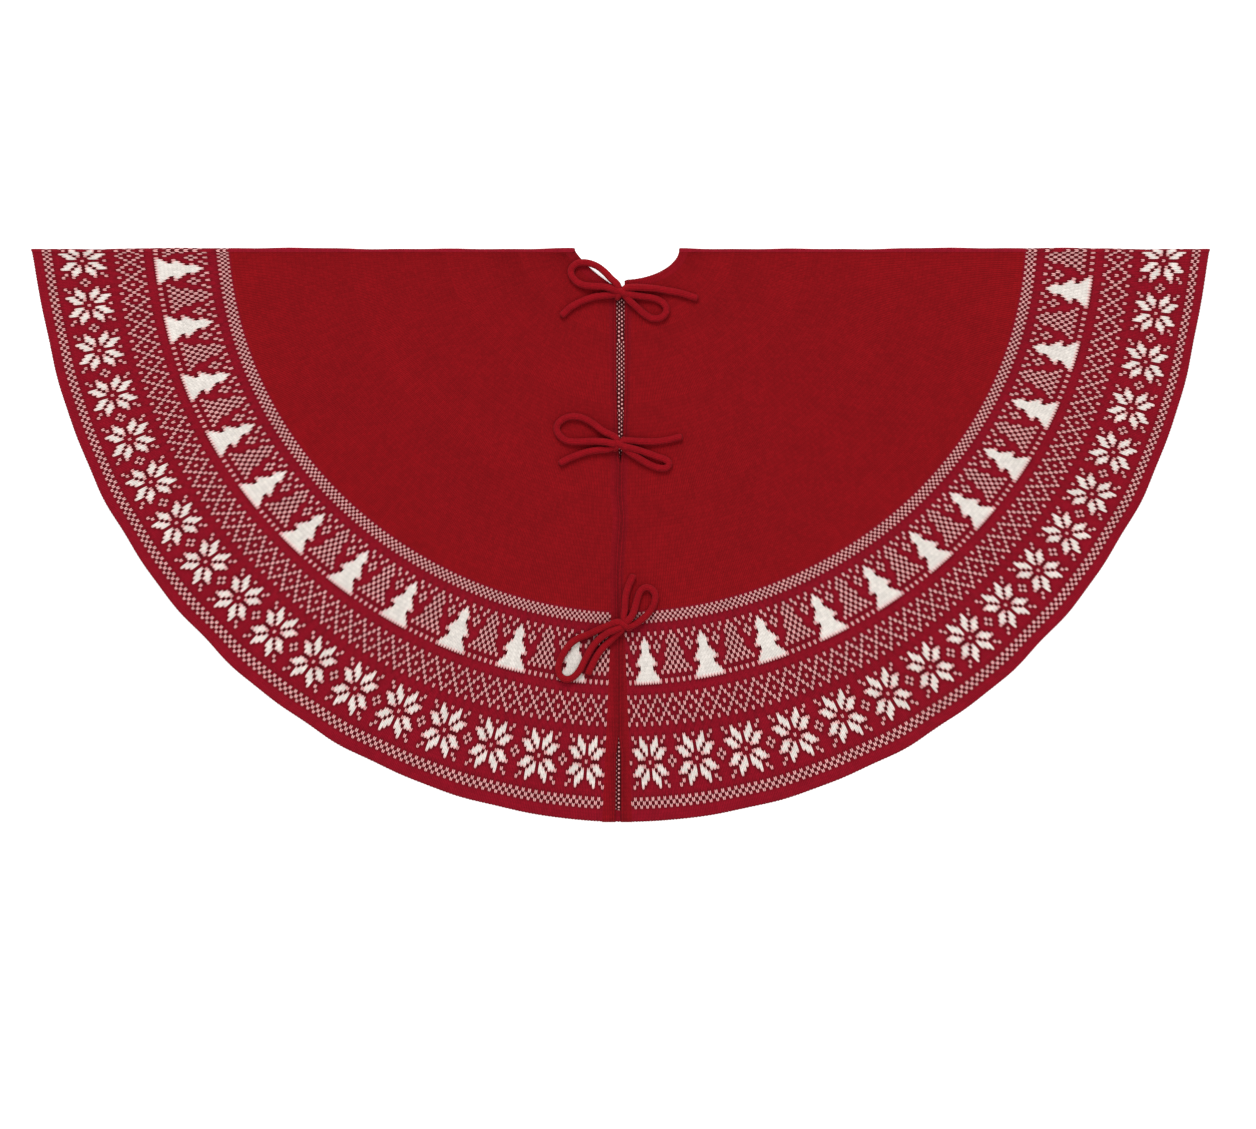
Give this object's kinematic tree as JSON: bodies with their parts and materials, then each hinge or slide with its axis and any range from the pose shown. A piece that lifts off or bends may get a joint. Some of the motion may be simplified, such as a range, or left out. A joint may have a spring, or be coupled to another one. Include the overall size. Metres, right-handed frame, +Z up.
{
  "type": "tree skirt",
  "caption": "Round knitted Christmas tree skirt, folded in half, with a patterned border, a trunk hole, and a slit closed by cord bows.",
  "frame": {"origin": "middle of the folded skirt's box, on the surface that it lies on", "axes": "+X along the fold, +Y from the slit's hem end towards the fold, +Z up, out of the tied front"},
  "size_m": [1.2181, 0.5949, 0.0219],
  "materials": {
    "plain_knit": "matt double knit",
    "jacquard_knit": "matt two-colour jacquard knit",
    "edge_knit": "matt knitted edge",
    "tie_cord": "matt knitted cord"
  },
  "bodies": {
    "back_half": {"back_neck_edge": "edge_knit", "back_field": "plain_knit", "back_border": "jacquard_knit", "back_hem_edge": "edge_knit"},
    "left_front": {"left_front_neck_edge": "edge_knit", "left_front_field": "plain_knit", "left_front_border": "jacquard_knit", "left_front_hem_edge": "edge_knit", "left_slit_band": "edge_knit", "top_knot": "tie_cord", "top_left_loop": "tie_cord", "top_right_tail": "tie_cord", "top_left_tack": "tie_cord", "middle_knot": "tie_cord", "middle_left_loop": "tie_cord", "middle_right_tail": "tie_cord", "middle_left_tack": "tie_cord", "bottom_knot": "tie_cord", "bottom_left_loop": "tie_cord", "bottom_right_tail": "tie_cord", "bottom_left_tack": "tie_cord"},
    "right_front": {"right_front_neck_edge": "edge_knit", "right_front_field": "plain_knit", "right_front_border": "jacquard_knit", "right_front_hem_edge": "edge_knit", "right_slit_band": "edge_knit", "top_right_loop": "tie_cord", "top_left_tail": "tie_cord", "top_right_tack": "tie_cord", "middle_right_loop": "tie_cord", "middle_left_tail": "tie_cord", "middle_right_tack": "tie_cord", "bottom_right_loop": "tie_cord", "bottom_left_tail": "tie_cord", "bottom_right_tack": "tie_cord"}
  },
  "joints": [
    {"name": "left_front_fold", "type": "hinge", "parent": "back_half", "child": "left_front", "pos_m": [0, 0.2975, 0.0038], "axis": [-1, 0, 0], "range_deg": [0, 180]},
    {"name": "right_front_fold", "type": "hinge", "parent": "back_half", "child": "right_front", "pos_m": [0, 0.2975, 0.0038], "axis": [-1, 0, 0], "range_deg": [0, 180]}
  ],
  "couplings": [
    {"joint": "right_front_fold", "follows": "left_front_fold", "ratio": 1}
  ]
}
